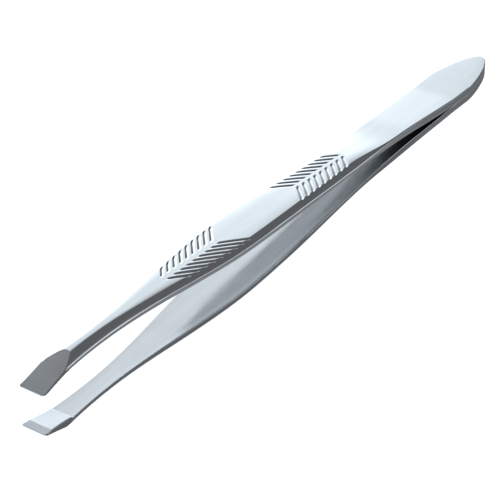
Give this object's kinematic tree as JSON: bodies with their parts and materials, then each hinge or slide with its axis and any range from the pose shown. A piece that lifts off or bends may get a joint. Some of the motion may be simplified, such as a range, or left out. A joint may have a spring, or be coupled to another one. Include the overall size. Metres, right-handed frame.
{
  "type": "slant tweezers",
  "caption": "Slim sprung tweezers: two mirrored bowed metal arms joined at a leaf-shaped tail, slanted ground tips and pressed chevron grips.",
  "frame": {"origin": "middle of the overall box, on the plane of symmetry between the two arms", "axes": "+X runs along the tweezers from the tips to the tail, +Y across them, +Z is the opening direction with the upper arm on the +Z side"},
  "size_m": [0.095, 0.0066, 0.0082],
  "materials": {
    "arm_steel": "satin polished stainless steel",
    "weld_steel": "fused stainless steel"
  },
  "bodies": {
    "tail": {"upper_tail": "arm_steel", "lower_tail": "arm_steel", "spot_weld": "weld_steel"},
    "upper_arm_body": {"upper_tip": "arm_steel", "upper_grip": "arm_steel", "upper_spring": "arm_steel"},
    "lower_arm_body": {"lower_tip": "arm_steel", "lower_grip": "arm_steel", "lower_spring": "arm_steel"}
  },
  "joints": [
    {"name": "upper_arm_flex", "type": "hinge", "parent": "tail", "child": "upper_arm_body", "pos_m": [0.0275, 0, 0.00083], "axis": [0, -1, 0], "range_deg": [0, 1.75], "stiffness_Nm_per_rad": 1.2},
    {"name": "lower_arm_flex", "type": "hinge", "parent": "tail", "child": "lower_arm_body", "pos_m": [0.0275, 0, -0.00083], "axis": [0, 1, 0], "range_deg": [0, 1.75], "stiffness_Nm_per_rad": 1.2}
  ],
  "couplings": [
    {"joint": "lower_arm_flex", "follows": "upper_arm_flex", "ratio": 1}
  ]
}
